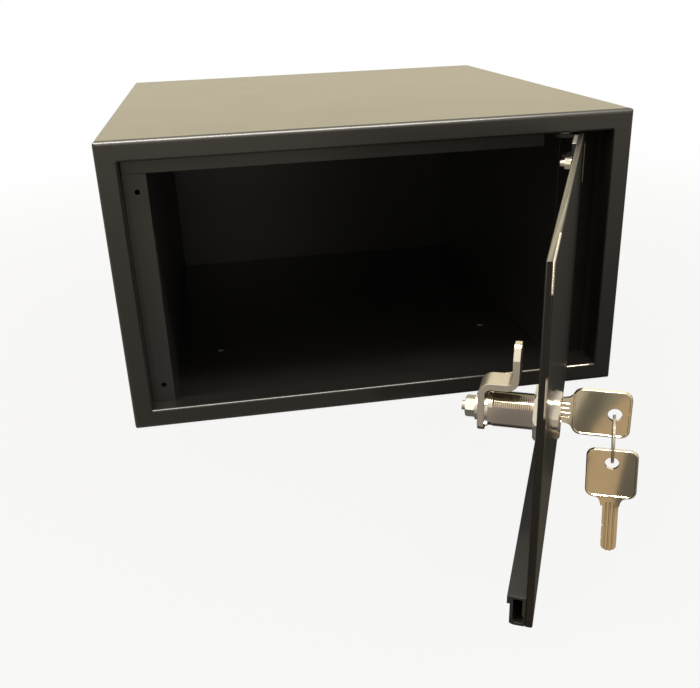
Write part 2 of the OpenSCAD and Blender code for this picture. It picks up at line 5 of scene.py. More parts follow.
import bmesh
import bpy
from mathutils import Matrix, Vector


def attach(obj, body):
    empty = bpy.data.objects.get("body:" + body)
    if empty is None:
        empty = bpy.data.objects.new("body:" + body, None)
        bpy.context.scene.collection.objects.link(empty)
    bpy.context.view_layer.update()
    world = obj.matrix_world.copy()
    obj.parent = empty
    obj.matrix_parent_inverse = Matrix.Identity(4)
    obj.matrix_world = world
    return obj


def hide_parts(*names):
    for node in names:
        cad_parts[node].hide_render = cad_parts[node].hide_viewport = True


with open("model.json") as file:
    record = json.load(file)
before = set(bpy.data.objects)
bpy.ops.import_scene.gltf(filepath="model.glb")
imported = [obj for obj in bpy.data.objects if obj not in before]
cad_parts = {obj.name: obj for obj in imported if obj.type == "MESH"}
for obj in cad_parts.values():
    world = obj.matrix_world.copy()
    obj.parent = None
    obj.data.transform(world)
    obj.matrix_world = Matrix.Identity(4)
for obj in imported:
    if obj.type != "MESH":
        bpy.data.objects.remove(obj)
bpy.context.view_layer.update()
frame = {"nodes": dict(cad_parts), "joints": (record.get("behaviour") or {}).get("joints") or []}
nodes = frame["nodes"]
MM = 0.001

# %% [markdown]
# ## Where the door and the lock stand
# Door, lock and keys are drawn at rest with the door open. Their joints say where their axes are,
# so the lock's own frame is read from the joint: z runs outwards along the barrel, y is up, and
# x runs along the door to the hinge. A piece is then modelled flat at the origin and set down once.
# The door's own frame has the same axes and stands on its pivot pins: at_door has x along the door,
# y up and z outwards.
# %% Frames of the lock and the door
joints = {joint["name"]: joint for joint in frame["joints"]}
lock_point = Vector(joints["plug_turn"]["pos_m"])
lock_out = Vector(joints["plug_turn"]["axis"])
UP = Vector((0, 0, 1))
along_door = UP.cross(lock_out)
at_lock = Matrix.Translation(lock_point) @ Matrix((along_door, UP, lock_out)).transposed().to_4x4()
pivot_point = Vector(joints["door_swing"]["pos_m"])
at_door = Matrix.Translation(pivot_point) @ at_lock.to_3x3().to_4x4()
print("lock at", tuple(round(v, 4) for v in lock_point), "facing", tuple(round(v, 3) for v in lock_out))
print("door pivot at", tuple(round(v, 4) for v in pivot_point))

# %% [markdown]
# ## The camera
# The photograph was taken from in front, a little left and above, looking down at the open door.
# The camera was solved from the corners of the box: its three axes are written as rows below,
# and the focal length follows from the width of the picture.
# %% Camera
CAMERA_PLACE = Vector((-0.117393, -0.826726, 0.320427))
CAMERA_RIGHT = Vector((0.98569186, -0.16454155, -0.03657362))
CAMERA_DOWN = Vector((-0.09790994, -0.38229744, -0.91883748))
CAMERA_AHEAD = Vector((0.13720494, 0.90927155, -0.39293774))
FOCAL_PIXELS = 829.05
PICTURE_WIDTH = 700
SENSOR_WIDTH = 36.0

lens = bpy.data.cameras.new("camera")
lens.sensor_fit = "HORIZONTAL"
lens.sensor_width = SENSOR_WIDTH
lens.lens = FOCAL_PIXELS / PICTURE_WIDTH * SENSOR_WIDTH
lens.clip_start = 10 * MM
camera = bpy.data.objects.new("camera", lens)
camera.matrix_world = Matrix.Translation(CAMERA_PLACE) @ Matrix(
    (CAMERA_RIGHT, -CAMERA_DOWN, -CAMERA_AHEAD)).transposed().to_4x4()
bpy.context.scene.collection.objects.link(camera)
bpy.context.scene.camera = camera
print("focal length", round(lens.lens, 2), "mm")

# %% [markdown]
# ## Shader maths in plain Python
# A finish is a small network of nodes. Wired by hand it is hard to read, so a value on its way
# through the network is wrapped in a class whose operators add the Math nodes. The text then reads
# as a formula: `0.4 + 0.1 * grain`.
# %% A value and a finish
class Value:
    """A number that changes over the surface."""

    def __init__(self, finish, socket):
        self.finish = finish
        self.socket = socket

    def math(self, operation, first, second):
        return self.finish.add("ShaderNodeMath", {"operation": operation}, {0: first, 1: second})

    def __add__(self, other):
        return self.math("ADD", self, other)

    def __sub__(self, other):
        return self.math("SUBTRACT", self, other)

    def __rsub__(self, other):
        return self.math("SUBTRACT", other, self)

    def __mul__(self, other):
        return self.math("MULTIPLY", self, other)

    __radd__ = __add__
    __rmul__ = __mul__

    def step(self, low, high):
        """0 below low, 1 above high and a smooth rise between; high may be the smaller one."""
        return self.finish.add("ShaderNodeMapRange", {"interpolation_type": "SMOOTHSTEP"},
                               {"Value": self, "From Min": low, "From Max": high})

    def rise(self, low, high):
        """The same step, with its limits in millimetres."""
        return self.step(low * MM, high * MM)


class Finish:
    """A material with one Principled shader, and helpers that add nodes to it."""

    def __init__(self, name, **fixed):
        self.material = bpy.data.materials.new(name)
        self.material.use_nodes = True
        self.tree = self.material.node_tree
        self.shader = self.tree.nodes["Principled BSDF"]
        self.point = self.add("ShaderNodeTexCoord", out="Object")
        for socket, value in fixed.items():
            self.shader.inputs[socket.replace("_", " ")].default_value = value

    def add(self, kind, settings=None, inputs=None, out=0):
        node = self.tree.nodes.new(kind)
        for name, value in (settings or {}).items():
            setattr(node, name, value)
        for name, value in (inputs or {}).items():
            if isinstance(value, Value):
                self.tree.links.new(value.socket, node.inputs[name])
            else:
                node.inputs[name].default_value = value
        return Value(self, node.outputs[out])

    def axes(self, place=None):
        """x, y and z of the point, in metres; place is the piece's own frame, if it has one."""
        point = self.point
        if place is not None:
            where, turn = place.to_translation(), place.to_euler()
            point = self.add("ShaderNodeMapping", {"vector_type": "TEXTURE"},
                             {"Vector": point, "Location": where, "Rotation": turn})
        parts = self.add("ShaderNodeSeparateXYZ", inputs={0: point})
        return [Value(self, output) for output in parts.socket.node.outputs]

    def noise(self, size, detail=2.0):
        """Noise with blobs of about that size in metres."""
        point = self.add("ShaderNodeMapping", {"vector_type": "POINT"},
                         {"Vector": self.point, "Scale": [1 / size] * 3})
        return self.add("ShaderNodeTexNoise", None, {"Vector": point, "Scale": 1.0, "Detail": detail})

    def blend(self, amount, first, second):
        """first where amount is 0 and second where it is 1, as colours."""
        return self.add("ShaderNodeMix", {"data_type": "RGBA"}, {0: amount, 6: first, 7: second}, out=2)

    def wire(self, **links):
        for name, value in links.items():
            self.tree.links.new(value.socket, self.shader.inputs[name.replace("_", " ")])

    def bump(self, height, depth):
        """A relief of that depth in metres where height runs from 0 to 1."""
        return self.add("ShaderNodeBump", None, {"Height": height, "Distance": depth, "Strength": 1.0})


def colour(red, green, blue):
    return (red, green, blue, 1.0)


def shaded(shade, share):
    """A colour at a share of its strength."""
    return colour(*(share * part for part in shade))


print("ready to write finishes")

# %% [markdown]
# ## Black powder coat
# Body, liners and door are steel sheet with a baked black powder coat: satin, with the shallow
# bumps called orange peel about a millimetre across, and a finer grain on top. The relief carries
# the look, so it is a bump from two noises, and a slow third noise lets the gloss wander a little.
# A mask may say where the coat shows pale steel, for wear and for painted highlights, and a second one
# how glossy it is. Each is a formula of the point's three coordinates, in the frame given as place. The
# pale marks are mirroring steel where metal_shows is 1, and only a plain pale colour, a painted highlight,
# where it is 0.
# %% Powder coat
POWDER_BLACK = (0.021, 0.0195, 0.0175)
# A darker copy of the same black, as painted shade inside the box.
SHADED_INSIDE_BLACK = (0.012, 0.0115, 0.011)
# Pale steel for the marks of wear and for painted highlights.
BARE_STEEL_AND_GLINT = colour(0.8, 0.74, 0.63)
PEEL_SIZE, GRAIN_SIZE, DRIFT_SIZE, COAT_RELIEF = 1.6 * MM, 0.45 * MM, 55 * MM, 0.055 * MM


def powder_coat(name, shade, place=None, worn=None, gloss=None, metal_shows=1.0):
    coat = Finish(name, Coat_Weight=0.4, Coat_Roughness=0.24, IOR=1.5)
    peel = coat.noise(PEEL_SIZE, detail=1.0)
    grain = coat.noise(GRAIN_SIZE)
    drift = coat.noise(DRIFT_SIZE, detail=3.0)
    paint = coat.blend(drift, shaded(shade, 0.85), shaded(shade, 1.15))
    rough = 0.38 + 0.05 * drift + 0.06 * grain
    if worn is not None:
        # The mask is 1 on the pale marks: wear, and painted highlights.
        bare_and_lit = worn(*coat.axes(place))
        paint = coat.blend(bare_and_lit, paint, BARE_STEEL_AND_GLINT)
        rough = rough - 0.16 * bare_and_lit
        coat.wire(Metallic=metal_shows * bare_and_lit)
    if gloss is not None:
        coat.wire(Coat_Weight=gloss(*coat.axes(place)))
    coat.wire(Base_Color=paint, Roughness=rough, Normal=coat.bump(peel * 0.7 + grain * 0.3, COAT_RELIEF))
    return coat


body_coat = powder_coat("black powder coat", POWDER_BLACK)
# The back panel takes the darker copy: painted shade inside the box.
shaded_inside_coat = powder_coat("black powder coat inside", SHADED_INSIDE_BLACK)
print("plain powder coats made")

# %% [markdown]
# ## Wear and painted highlights on the coat
# Three numbers say where the door's plate ends in its own frame, in millimetres, because its wear and its
# painted glints lie on its edges. The painted highlights on the sill and on the hinge-side lining are placed
# in the safe's frame.
# %% Powder coats with wear and painted highlights
DOOR_OUTER, DOOR_FREE, DOOR_TOP = 15.0, -340.0, 212.5


def door_wear_and_glints(along, up, outwards):
    """Chips at the upper corner and above the lock, both on the outer edge; their pale steel also stands in
    for the glints along the rounded edge, as painted highlights.
    """
    outer_edge = outwards.rise(DOOR_OUTER - 1.1, DOOR_OUTER - 0.9)
    free_edge = outer_edge * along.rise(DOOR_FREE + 1.1, DOOR_FREE + 0.9)
    corner = free_edge * up.rise(197, 199)
    top = outer_edge * up.rise(DOOR_TOP - 1.1, DOOR_TOP - 0.9) * along.rise(-293, -295)
    above_lock = free_edge * up.rise(137, 140) * up.rise(159, 156)
    return corner + top * (1 - corner) + above_lock


def door_gloss(along, up, outwards):
    """The lying top edge is glossier than the upright faces."""
    return 0.15 + 0.75 * up.rise(DOOR_TOP - 0.2, DOOR_TOP - 0.1)


def sill_glint(x, y, z):
    """The sill's front edge at the right, pale steel as a painted highlight for the glint on that rounded
    edge.
    """
    edge = z.rise(14.6, 14.8) * z.rise(16, 15.8) * y.rise(-214.3, -214.5)
    return edge * x.rise(94, 97) * x.rise(184, 182)


def lining_glint(x, y, z):
    """An upright pale line on the lining's flange, beside the door's hinge edge: a painted highlight."""
    return x.rise(189.2, 189.4) * x.rise(190.8, 190.6) * z.rise(160, 163) * z.rise(196, 192)


door_coat = powder_coat("black powder coat on the door", POWDER_BLACK, at_door, door_wear_and_glints, door_gloss)
door_coat.shader.inputs["Specular IOR Level"].default_value = 0.15
shell_coat = powder_coat("black powder coat on the shell", POWDER_BLACK, worn=sill_glint)
# The lining's line shows no metal: a plain pale painted highlight.
lining_coat = powder_coat("black powder coat on the hinge-side lining", POWDER_BLACK, worn=lining_glint,
                          metal_shows=0.0)
print("worn powder coats made")

# %% [markdown]
# ## Plated and bare metals
# The lock is a catalogue of platings: polished nickel on the head and the threaded barrel, bright
# zinc on the nuts, the washers and the cam, and golden nickel silver for the keys.
# All are fully metallic. They differ in colour, in gloss, and in the scratches and clouds of use.
# %% Metals
def metal(name, shade, gloss, cloud=0.12, scratch=0.0, relief=0.004 * MM):
    finish = Finish(name, Metallic=1.0)
    clouds = finish.noise(7 * MM, detail=4.0)
    marks = finish.noise(0.35 * MM)
    finish.wire(Base_Color=finish.blend(clouds, colour(*shade), shaded(shade, 1 - 1.6 * cloud)),
                Roughness=gloss + cloud * clouds + scratch * marks,
                Normal=finish.bump(marks, relief))
    return finish


zinc = metal("bright zinc plate", (0.72, 0.71, 0.66), 0.2, cloud=0.14, scratch=0.1)
cam_zinc = metal("zinc plate on the cam", (0.68, 0.63, 0.55), 0.24, cloud=0.1, scratch=0.1,
                 relief=0.008 * MM)
nickel = metal("polished nickel", (0.70, 0.65, 0.57), 0.08, cloud=0.08)
steel = metal("plain steel", (0.5, 0.5, 0.49), 0.3)
key_metal = metal("golden nickel silver", (0.82, 0.74, 0.55), 0.04, cloud=0.04, scratch=0.05,
                  relief=0.001 * MM)
ring_steel = metal("bright ring steel", (0.9, 0.87, 0.79), 0.28, cloud=0.03)
brass = metal("pin brass", (0.68, 0.5, 0.24), 0.25)
print("metals made")

# %% [markdown]
# ## Hinge parts with painted shade
# The hinge brackets and their nuts are zinc. Where they lie dark in shade they get the black coat instead,
# as painted shade, so only the bracket's top edge and the nearer pair of nuts show their pale zinc. One
# finish holds both looks, and a mask in the door's own frame chooses.
# %% Pale zinc and painted shade in one finish
PALE_ZINC = colour(0.9, 0.86, 0.74)


def zinc_with_painted_shade(name, bare_mask):
    finish = Finish(name)
    bare_and_lit = bare_mask(*finish.axes(at_door))
    grain = finish.noise(0.6 * MM)
    # Black coat where the mask is 0: painted shade over the zinc.
    finish.wire(Base_Color=finish.blend(bare_and_lit, colour(*POWDER_BLACK), PALE_ZINC),
                Metallic=0.2 * bare_and_lit, Roughness=0.4 - 0.2 * bare_and_lit + 0.1 * grain,
                Normal=finish.bump(grain, 0.01 * MM))
    return finish


# Pale zinc on the bracket's top edge; the rest takes the painted shade.
def bracket_zinc_shows(along, up, outwards):
    return outwards.rise(7.7, 7.9) * along.rise(-12, -14) * up.rise(210.9, 211.2)


# Pale zinc on the nearer pair of nuts; the far pair takes the painted shade.
def fastener_zinc_shows(along, up, outwards):
    return along.rise(-9, -10)


bracket_with_painted_shade = zinc_with_painted_shade("bracket with a bare top edge", bracket_zinc_shows)
fasteners_with_painted_shade = zinc_with_painted_shade("hinge fasteners", fastener_zinc_shows)
print("half-painted finishes made")

# %% [markdown]
# ## Which node wears what
# The solids of the CAD are good enough for sheet metal and for what is hidden in the lock, so they
# stay and only get their finishes.
# %% Finishes on the CAD's nodes
WEARS = {
    shell_coat: ["outer_shell"],
    body_coat: ["left_liner", "top_stop_strip", "door_bottom_channel"],
    lining_coat: ["right_liner"],
    door_coat: ["door_plate"],
    shaded_inside_coat: ["back_panel"],
    zinc: ["top_pivot_pin", "bottom_pivot_pin", "pivot_washers", "lock_nut", "stop_washer",
           "cam_washer", "cam_nut"],
    bracket_with_painted_shade: ["top_hinge_bracket", "bottom_hinge_bracket"],
    fasteners_with_painted_shade: ["hinge_studs", "hinge_nuts"],
    cam_zinc: ["cam"],
    nickel: ["lock_housing", "lock_plug", "pin_cover_strip"],
    steel: ["pin_springs", "driver_pins"],
    key_metal: ["inserted_key", "spare_key"],
    ring_steel: ["key_ring"],
    brass: ["plug_pins"],
}


def wear(piece, finish):
    piece.data.materials.clear()
    piece.data.materials.append(finish.material)


for finish, names in WEARS.items():
    for name in names:
        wear(nodes[name], finish)
print("dressed", sum(len(names) for names in WEARS.values()), "nodes")

# %% [markdown]
# ## Softened sheet edges
# No real sheet has a sharp edge: cut edges are deburred and the coat flows round them. That narrow
# round is what catches a thin line of light. The CAD's meshes stay as they are, and modifiers do the
# work: Weld joins the loose triangles, Decimate takes the flat ones together, and Bevel rounds.
# %% Soft edges on the CAD's sheet parts
EDGE_ROUNDS = {"door_plate": 1.2, "door_bottom_channel": 0.5, "left_liner": 0.35, "right_liner": 0.35,
               "top_stop_strip": 0.35, "top_hinge_bracket": 0.4, "bottom_hinge_bracket": 0.4}
SAME_PLANE = math.radians(0.5)


def soften_node(node, width):
    weld = node.modifiers.new("weld", "WELD")
    weld.merge_threshold = 0.002 * MM
    flat = node.modifiers.new("flat", "DECIMATE")
    flat.decimate_type = "DISSOLVE"
    flat.angle_limit = SAME_PLANE
    edge = node.modifiers.new("edge", "BEVEL")
    edge.width = width
    edge.segments = 3
    edge.limit_method = "ANGLE"
    edge.angle_limit = math.radians(40)
    edge.harden_normals = True


for name, width in EDGE_ROUNDS.items():
    soften_node(nodes[name], width * MM)
print("softened", len(EDGE_ROUNDS), "nodes")

# %% [markdown]
# ## Modelling by operators
# Every new piece starts as a primitive, alone in the selection, at its real size and in its own
# plane. Faces and edges are then picked by where they lie or look, and worked on in edit mode.
# Modifiers are applied at once, and the finished piece is set down once, into its place.
# %% Starting and picking
X, Z = 0, 2  # axes of a mesh
CLOSE = 0.01 * MM  # what lies nearer than this is in the same place


@contextmanager
def editing():
    bpy.ops.object.mode_set(mode="EDIT")
    yield
    bpy.ops.object.mode_set(mode="OBJECT")


def start(name, operator, **shape):
    bpy.ops.object.select_all(action="DESELECT")
    operator(**shape)
    piece = bpy.context.object
    piece.name = piece.data.name = name
    bpy.ops.object.transform_apply()
    return piece


def block(name, low, high):
    low, high = Vector(low), Vector(high)
    return start(name, bpy.ops.mesh.primitive_cube_add, size=1, location=(low + high) / 2, scale=high - low)


def pick(kind, test):
    """In edit mode, selects just the faces or the edges that pass the test."""
    bpy.ops.mesh.select_mode(type=kind)
    bpy.ops.mesh.select_all(action="DESELECT")
    shape = bmesh.from_edit_mesh(bpy.context.object.data)
    for element in shape.faces if kind == "FACE" else shape.edges:
        if test(element):
            element.select_set(True)
    bmesh.update_edit_mesh(bpy.context.object.data)


def middle(element):
    return sum((vert.co for vert in element.verts), Vector()) / len(element.verts)


def runs_along(edge, axis):
    start_point, end_point = (vert.co for vert in edge.verts)
    return abs((end_point - start_point).normalized()[axis]) > 0.999


def merge_flat_faces():
    """In edit mode, takes faces of one plane together."""
    bpy.ops.mesh.select_all(action="SELECT")
    bpy.ops.mesh.dissolve_limited(angle_limit=SAME_PLANE)


def activate(piece):
    bpy.context.view_layer.objects.active = piece


print("ready to start and pick")

# %% [markdown]
# A flat face that lies beside a rounded edge takes on a false sheen, unless its corners point the way
# that it faces. So large faces are set flat, and for the others the normals are weighted by area.
# %% Changing and settling
SAME_AREA = 1e-8  # faces whose areas differ by less than this, in square metres, weigh the same
FLAT_AREA = 3e-5  # faces larger than this, in square metres, are truly flat


def modify(piece, kind, **settings):
    activate(piece)
    modifier = piece.modifiers.new(kind.lower(), kind)
    for name, value in settings.items():
        setattr(modifier, name, value)
    bpy.ops.object.modifier_apply(modifier=modifier.name)


def combine(piece, tool, operation):
    modify(piece, "BOOLEAN", object=tool, operation=operation, solver="EXACT")
    bpy.data.objects.remove(tool)


def soften(piece, width):
    modify(piece, "BEVEL", width=width, segments=2, limit_method="ANGLE",
           angle_limit=math.radians(35), use_clamp_overlap=True)


def select_only(piece):
    bpy.ops.object.select_all(action="DESELECT")
    piece.select_set(True)
    activate(piece)


def settle(piece, place, finish, body, slot, *replaced):
    """Sets a finished piece down in its place, on its body and over the nodes that it stands for."""
    piece.matrix_world = place
    select_only(piece)
    bpy.ops.object.transform_apply()
    bpy.ops.object.shade_smooth_by_angle(angle=math.radians(38))
    with editing():
        pick("FACE", lambda face: face.calc_area() > FLAT_AREA)
        bpy.ops.mesh.faces_shade_flat()
    modify(piece, "WEIGHTED_NORMAL", keep_sharp=True, weight=100, thresh=SAME_AREA)
    wear(piece, finish)
    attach(piece, body)
    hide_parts(*replaced)
    print(piece.name, "has", len(piece.data.polygons), "faces and rides on", body)


print("ready to model")

# %% [markdown]
# ## The two keys
# A key has a flat bow with a polished rim round a sunk field, a hole for the ring, a short shoulder
# that fillets into the bow, and a blade with lengthwise grooves and five cuts. A block is bevelled to
# the bow's round corners and both faces are inset twice, so that the rim keeps a steep wall; its outer
# edge is then rounded to a bead, which gives the thin bright line round the bow.
# %% The bow
BOW_LENGTH, BOW_WIDTH, BOW_ROUND = 28.3 * MM, 25.5 * MM, 4.5 * MM
KEY_THICKNESS, SHOULDER_LENGTH = 2.4 * MM, 5.2 * MM
RIM_WIDTH, RIM_WALL, RIM_HEIGHT, RIM_BEAD = 1.1 * MM, 0.2 * MM, 0.3 * MM, 0.5 * MM


def is_rim_edge(edge):
    side = any(abs(face.normal.z) < 0.1 for face in edge.link_faces)
    top = any(abs(face.normal.z) > 0.9 for face in edge.link_faces)
    return side and top and all(abs(vert.co.z) > 0.99 * KEY_THICKNESS / 2 for vert in edge.verts)


def make_bow(name):
    bow = block(name, (SHOULDER_LENGTH, -BOW_WIDTH / 2, -KEY_THICKNESS / 2),
                (SHOULDER_LENGTH + BOW_LENGTH, BOW_WIDTH / 2, KEY_THICKNESS / 2))
    with editing():
        pick("EDGE", lambda edge: runs_along(edge, Z))
        bpy.ops.mesh.bevel(offset=BOW_ROUND, segments=8, affect="EDGES")
        pick("FACE", lambda face: abs(face.normal.z) > 0.9)
        bpy.ops.mesh.inset(thickness=RIM_WIDTH)
        bpy.ops.mesh.inset(thickness=RIM_WALL)
        sunk = 1 - 2 * RIM_HEIGHT / KEY_THICKNESS
        bpy.ops.transform.resize(value=(1, 1, sunk), center_override=(0, 0, 0))
        pick("EDGE", is_rim_edge)
        bpy.ops.mesh.bevel(offset=RIM_BEAD, segments=3, affect="EDGES")
    return bow


print("bow:", round(BOW_LENGTH / MM, 1), "by", round(BOW_WIDTH / MM, 1), "mm")

# %% [markdown]
# The shoulder is a block whose sides two round cutters hollow out, so that it widens towards the bow.
# The blade is a narrower block with a round tip, and the two are fused.
# %% The shoulder and the blade
BLADE_LENGTH, BLADE_WIDTH, BLADE_THICKNESS = 27.8 * MM, 8 * MM, 2 * MM
SHOULDER_CORNER = 1.2 * MM
BLADE_TIP = 0.48 * BLADE_WIDTH  # round of the tip's corners
PAST = 10 * MM  # cutters reach this far, so that they pass right through


def make_shank(narrow, wide, blade_off):
    """Blade and shoulder in one; the shoulder widens towards the bow from narrow to wide."""
    shank = block("shank", (0, -wide / 2, -BLADE_THICKNESS / 2),
                  (SHOULDER_LENGTH + RIM_WIDTH, wide / 2, BLADE_THICKNESS / 2))
    for side in (-1, 1):
        mill = start("mill", bpy.ops.mesh.primitive_cylinder_add, vertices=64, radius=1, depth=1,
                     location=(0, side * wide / 2, 0), scale=(SHOULDER_LENGTH, (wide - narrow) / 2, PAST))
        combine(shank, mill, "DIFFERENCE")
    activate(shank)
    with editing():
        pick("EDGE", lambda edge: runs_along(edge, Z) and middle(edge).x < CLOSE)
        bpy.ops.mesh.bevel(offset=SHOULDER_CORNER, segments=2, affect="EDGES")
    blade = block("blade", (-BLADE_LENGTH, -blade_off - BLADE_WIDTH / 2, -BLADE_THICKNESS / 2),
                  (1 * MM, -blade_off + BLADE_WIDTH / 2, BLADE_THICKNESS / 2))
    with editing():
        pick("EDGE", lambda edge: runs_along(edge, Z) and middle(edge).x < 0)
        bpy.ops.mesh.bevel(offset=BLADE_TIP, segments=8, affect="EDGES")
    combine(shank, blade, "UNION")
    return shank


print("blade:", round(BLADE_LENGTH / MM, 1), "mm long")

# %% [markdown]
# Bow, shoulder and blade are fused, and cutters mill the hole, the grooves and the cuts. The grooves
# of each face are written as rows of three numbers in millimetres: place across the blade, width, and
# how far the groove runs out towards the bow.
# %% Hole, grooves and cuts
HOLE_PLACE, HOLE_SIZE = 25.7 * MM, 7 * MM
GROOVE_DEPTH, GROOVE_DRAFT = 0.6 * MM, 0.15
GROOVES = {1: [(4.6, 2.0, 6.6), (2.0, 2.0, 6.0), (-0.6, 2.0, 6.8), (-3.1, 1.9, 6.2)],
           -1: [(2.3, 1.8, 3.6), (0.2, 1.8, 4.8), (-1.7, 1.6, 4.4)]}
CUT_DEPTHS = [0.8 * MM, 1.3 * MM, 0.6 * MM, 1.1 * MM, 0.7 * MM]
FIRST_CUT, CUT_PITCH, CUT_TILT = -8 * MM, -4 * MM, math.radians(-30)
KEY_EDGE = 0.12 * MM


def mill_groove(key, face, across, width, end):
    """One groove with a round end and a narrow floor; face is 1 or -1."""
    level = face * BLADE_THICKNESS / 2
    groove = block("groove", (-BLADE_LENGTH - 1 * MM, (across - width / 2) * MM, level - GROOVE_DEPTH),
                   ((end - width) * MM, (across + width / 2) * MM, level + GROOVE_DEPTH))
    with editing():
        pick("EDGE", lambda edge: runs_along(edge, Z) and middle(edge).x > -BLADE_LENGTH)
        bpy.ops.mesh.bevel(offset=0.45 * width * MM, segments=4, affect="EDGES")
        pick("FACE", lambda floor_face: floor_face.normal.z * face < -0.9)
        bpy.ops.transform.resize(value=(1, GROOVE_DRAFT, 1), center_override=(0, across * MM, 0))
    combine(key, groove, "DIFFERENCE")


def make_key(name, narrow, wide, blade_off):
    key = make_bow(name)
    combine(key, make_shank(narrow, wide, blade_off), "UNION")
    hole = start("hole", bpy.ops.mesh.primitive_cylinder_add, vertices=64, radius=HOLE_SIZE / 2, depth=PAST,
                 location=(HOLE_PLACE, 0, 0))
    combine(key, hole, "DIFFERENCE")
    for face, rows in GROOVES.items():
        for row in rows:
            mill_groove(key, face, *row)
    for number, depth in enumerate(CUT_DEPTHS):
        place = (FIRST_CUT + number * CUT_PITCH, -blade_off - BLADE_WIDTH / 2, 0)
        cutter = start("cutter", bpy.ops.mesh.primitive_cylinder_add, vertices=4, radius=depth, depth=PAST,
                       location=place, rotation=(CUT_TILT, 0, 0))
        combine(key, cutter, "DIFFERENCE")
    activate(key)
    with editing():
        merge_flat_faces()
    soften(key, KEY_EDGE)
    return key


print("grooves:", sum(len(rows) for rows in GROOVES.values()), "cuts:", len(CUT_DEPTHS))

# %% [markdown]
# The two differ a little: the key in the lock has a wide shoulder, and the spare's blade lies nearer
# the middle of its bow, as the photograph shows them.
# %% Both keys
first_key = make_key("first_key_detailed", narrow=13.6 * MM, wide=19 * MM, blade_off=0.7 * MM)
second_key = make_key("second_key_detailed", narrow=9.6 * MM, wide=15.4 * MM, blade_off=-0.4 * MM)
print("the keys have", len(first_key.data.polygons), "and", len(second_key.data.polygons), "faces")

# %% [markdown]
# The first key goes into the lock, upright with its cuts down. The second hangs turned over on the
# ring, which friction keeps a little off the plumb line. Each place is read from left to right: into
# the lock, out to the bow's hole, down the ring, and over to the spare's own hole.
# %% Setting the keys down
KEY_RISE, KEY_SEAT, LEAN = 3.0 * MM, 5.7 * MM, math.radians(2)
RING_SIZE, RING_DROP = 23.4 * MM, 2.15 * MM
in_lock = at_lock @ Matrix.Translation((0, KEY_RISE, KEY_SEAT)) @ Matrix.Rotation(-math.pi / 2, 4, "Y")
leaning = (in_lock @ Matrix.Translation((HOLE_PLACE, -RING_DROP, 0)) @ Matrix.Rotation(LEAN, 4, "Z")
           @ Matrix.Translation((0, RING_DROP, 0)))
hanging = (leaning @ Matrix.Translation((0, -2 * RING_DROP - RING_SIZE, 0))
           @ Matrix.Rotation(math.pi / 2, 4, "Z") @ Matrix.Translation((-HOLE_PLACE, 0, 0))
           @ Matrix.Rotation(math.pi, 4, "X"))
settle(first_key, in_lock, key_metal, "first_key", "key_brass", "inserted_key")
settle(second_key, hanging, key_metal, "second_key", "key_brass", "spare_key")
print("the spare hangs", round(math.degrees(LEAN), 1), "degrees off the plumb line")

# %% [markdown]
# ## The split ring
# A split ring is nearly two turns of flattened spring wire. Each turn lies flat, and a short jog leads
# from one to the other where the two ends stop. A curve along a formula does that, with a
# flattened circle as its profile, and it is made a mesh at the end.
# %% Split ring
WIRE_ALONG, WIRE_ACROSS = 0.72 * MM, 1.3 * MM
LAYER_PITCH = 1.04 * WIRE_ALONG
TURNS, JOG, STEPS = 2, 0.05, 160
WIRE_START = math.radians(20)
path = bpy.data.curves.new("key_ring_split", "CURVE")
path.dimensions = "3D"
spline = path.splines.new("POLY")
spline.points.add(STEPS)
for number, point in enumerate(spline.points):
    turn = JOG + (TURNS - 2 * JOG) * number / STEPS
    rise = min(max((turn - 1 + JOG) / (2 * JOG), 0), 1)
    layer = (rise * rise * (3 - 2 * rise) - 0.5) * LAYER_PITCH
    angle = 2 * math.pi * turn + WIRE_START
    point.co = (RING_SIZE / 2 * math.cos(angle), RING_SIZE / 2 * math.sin(angle), layer, 1)
profile = start("wire", bpy.ops.curve.primitive_bezier_circle_add, radius=WIRE_ALONG / 2)
profile.data.splines[0].resolution_u = 4
profile.scale = (WIRE_ACROSS / WIRE_ALONG, 1, 1)
path.bevel_mode = "OBJECT"
path.bevel_object = profile
path.use_fill_caps = True
path.twist_mode = "Z_UP"
ring = bpy.data.objects.new("key_ring_split", path)
bpy.context.scene.collection.objects.link(ring)
select_only(ring)
bpy.ops.object.convert(target="MESH")
ring = bpy.context.object
bpy.data.objects.remove(profile)
print("ring:", [round(v / MM, 2) for v in ring.dimensions], "mm")
ring_place = (leaning @ Matrix.Translation((0, -RING_DROP - RING_SIZE / 2, 0))
              @ Matrix.Rotation(math.pi / 2, 4, "Y"))
settle(ring, ring_place, ring_steel, "ring", "nickel", "key_ring")

# %% [markdown]
# ## Nuts with chamfered corners
# A nut is turned before it is bored, so its corners end in cone faces. A six-sided prism meets a
# disc whose rims are bevelled: what both have in common is the nut.
# %% Hexagon nuts
NUT_EDGE = 0.15 * MM


def hex_nut(name, across, thickness, bore, top, turn=0.0):
    """A nut whose outer face lies at top on the lock's axis, turned by that many degrees."""
    corner = across / 2 / math.cos(math.pi / 6)
    place = (0, 0, top - thickness / 2)
    nut = start(name, bpy.ops.mesh.primitive_cylinder_add, vertices=6, radius=corner, depth=thickness,
                location=place, rotation=(0, 0, math.radians(30 + turn)))
    disc = start("disc", bpy.ops.mesh.primitive_cylinder_add, vertices=96, radius=corner, depth=thickness,
                 location=place)
    with editing():
        pick("FACE", lambda face: abs(face.normal.z) > 0.9)
        bpy.ops.mesh.region_to_loop()
        bpy.ops.mesh.bevel(offset=min(0.06 * across, 0.3 * thickness), segments=1, affect="EDGES")
    combine(nut, disc, "INTERSECT")
    drill = start("drill", bpy.ops.mesh.primitive_cylinder_add, vertices=64, radius=bore / 2,
                  depth=3 * thickness, location=place)
    combine(nut, drill, "DIFFERENCE")
    soften(nut, NUT_EDGE)
    return nut


